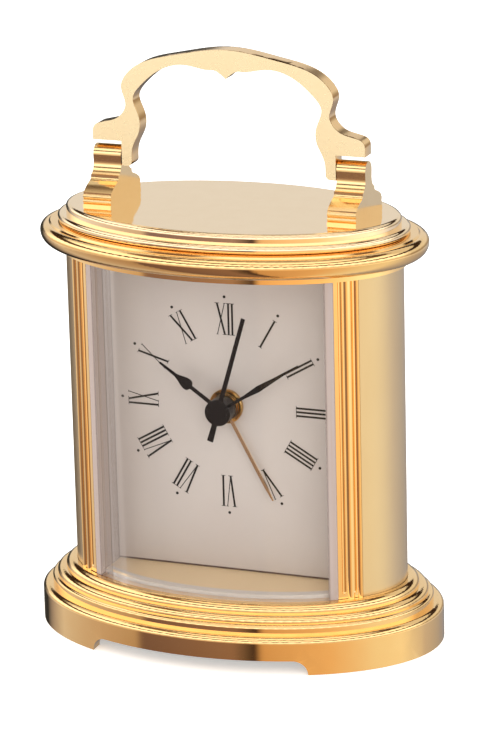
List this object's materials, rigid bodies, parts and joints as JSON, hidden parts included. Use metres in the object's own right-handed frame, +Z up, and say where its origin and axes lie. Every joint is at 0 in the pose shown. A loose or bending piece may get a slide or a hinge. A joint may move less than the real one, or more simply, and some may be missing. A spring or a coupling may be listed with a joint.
{
  "type": "carriage alarm clock",
  "caption": "Small oval gold carriage clock with a quartz alarm movement, silver dial behind a wrap-round crystal, and a folding bail handle.",
  "frame": {"origin": "floor level under the middle of the oval base", "axes": "+X to the right as the dial is faced, +Y towards the back, +Z up; the dial faces -Y"},
  "size_m": [0.0826, 0.055, 0.1167],
  "materials": {
    "polished_gold": "polished and lacquered",
    "satin_gold": "satin, upright brushing",
    "alarm_gold": "polished",
    "crystal": "clear",
    "dial_silver": "satin, printed numerals",
    "carrier": "mill",
    "black_metal": "satin black",
    "black_plastic": "moulded",
    "white_plastic": "moulded",
    "steel": "plated",
    "magnet": "ground",
    "copper": "enamelled wire",
    "board_green": "coated",
    "buzzer_brass": "bright",
    "battery_wrap": "printed wrap without any mark"
  },
  "bodies": {
    "clock": {"alarm_contact": "steel", "base_moulding": "polished_gold", "battery": "battery_wrap", "body_shell": "satin_gold", "bottom_plate": "black_plastic", "bottom_screws": "steel", "bracket_left": "polished_gold", "bracket_right": "polished_gold", "bracket_screws": "steel", "buzzer": "buzzer_brass", "circuit_board": "board_green", "coil": "copper", "coil_core": "steel", "contact_positive": "steel", "contact_spring": "steel", "cornice": "polished_gold", "cover_screws": "steel", "crystal": "crystal", "crystal_rail": "polished_gold", "dial_carrier": "carrier", "dial_plate": "dial_silver", "dial_surround": "polished_gold", "fixing_nut": "polished_gold", "movement_case": "black_plastic", "movement_front_plate": "black_plastic", "movement_screws": "steel", "pilaster_left": "polished_gold", "pilaster_right": "polished_gold", "quartz_can": "steel", "rear_cover": "black_plastic", "stator": "steel", "tie_rods": "steel", "top_plate": "satin_gold"},
    "handle_bail": {"handle": "polished_gold", "handle_pins": "polished_gold"},
    "minute_train": {"minute_hand": "black_metal", "cannon_pinion": "white_plastic"},
    "hour_train": {"hour_hand": "black_metal", "hour_wheel": "white_plastic"},
    "minute_wheel_body": {"minute_wheel": "white_plastic"},
    "time_set": {"time_set_knob": "black_plastic", "time_set_shaft": "white_plastic"},
    "second_train": {"second_hand": "black_metal", "seconds_wheel": "white_plastic"},
    "third_wheel_body": {"third_wheel": "white_plastic"},
    "intermediate_body": {"intermediate_wheel": "white_plastic"},
    "rotor_body": {"rotor": "magnet"},
    "centre_wheel_body": {"centre_wheel": "white_plastic"},
    "alarm_train": {"alarm_hand": "alarm_gold", "alarm_wheel": "white_plastic"},
    "alarm_set": {"alarm_set_knob": "black_plastic", "alarm_set_shaft": "white_plastic"},
    "battery_cover": {"battery_door": "black_plastic"},
    "alarm_slider": {"alarm_switch": "black_plastic"}
  },
  "joints": [
    {"name": "handle_hinge", "type": "hinge", "parent": "clock", "child": "handle_bail", "pos_m": [0, 0, 0.0945], "axis": [1, 0, 0], "range_deg": [-90, 90]},
    {"name": "minute_turn", "type": "hinge", "parent": "clock", "child": "minute_train", "pos_m": [0, 0, 0.0469], "axis": [0, 1, 0], "continuous": true},
    {"name": "hour_turn", "type": "hinge", "parent": "clock", "child": "hour_train", "pos_m": [0, 0, 0.0469], "axis": [0, 1, 0], "continuous": true},
    {"name": "minute_wheel_turn", "type": "hinge", "parent": "clock", "child": "minute_wheel_body", "pos_m": [-0.0052, 0, 0.0499], "axis": [0, 1, 0], "continuous": true},
    {"name": "time_set_turn", "type": "hinge", "parent": "clock", "child": "time_set", "pos_m": [-0.01039, 0, 0.0529], "axis": [0, 1, 0], "continuous": true},
    {"name": "second_turn", "type": "hinge", "parent": "clock", "child": "second_train", "pos_m": [0, 0, 0.0469], "axis": [0, 1, 0], "continuous": true},
    {"name": "third_turn", "type": "hinge", "parent": "clock", "child": "third_wheel_body", "pos_m": [-0.00118, 0, 0.0536], "axis": [0, 1, 0], "continuous": true},
    {"name": "intermediate_turn", "type": "hinge", "parent": "clock", "child": "intermediate_body", "pos_m": [0, 0, 0.0397], "axis": [0, 1, 0], "continuous": true},
    {"name": "rotor_turn", "type": "hinge", "parent": "clock", "child": "rotor_body", "pos_m": [-0.00445, 0, 0.03525], "axis": [0, 1, 0], "continuous": true},
    {"name": "centre_turn", "type": "hinge", "parent": "clock", "child": "centre_wheel_body", "pos_m": [0, 0, 0.0469], "axis": [0, 1, 0], "continuous": true},
    {"name": "alarm_turn", "type": "hinge", "parent": "clock", "child": "alarm_train", "pos_m": [0, 0, 0.0469], "axis": [0, 1, 0], "continuous": true},
    {"name": "alarm_set_turn", "type": "hinge", "parent": "clock", "child": "alarm_set", "pos_m": [-0.00819, 0, 0.04116], "axis": [0, 1, 0], "continuous": true},
    {"name": "battery_door_pull", "type": "slide", "parent": "clock", "child": "battery_cover", "axis": [0, 1, 0], "range_m": [0, 0.014]},
    {"name": "alarm_switch_slide", "type": "slide", "parent": "clock", "child": "alarm_slider", "axis": [1, 0, 0], "range_m": [0, 0.004]}
  ],
  "couplings": [
    {"joint": "hour_turn", "follows": "minute_turn", "ratio": 0.083333},
    {"joint": "minute_wheel_turn", "follows": "minute_turn", "ratio": -0.33333},
    {"joint": "time_set_turn", "follows": "minute_turn", "ratio": 1},
    {"joint": "third_turn", "follows": "second_turn", "ratio": -0.125},
    {"joint": "intermediate_turn", "follows": "second_turn", "ratio": -5},
    {"joint": "rotor_turn", "follows": "second_turn", "ratio": 30},
    {"joint": "centre_turn", "follows": "second_turn", "ratio": 0.016667},
    {"joint": "alarm_set_turn", "follows": "alarm_turn", "ratio": -1}
  ]
}
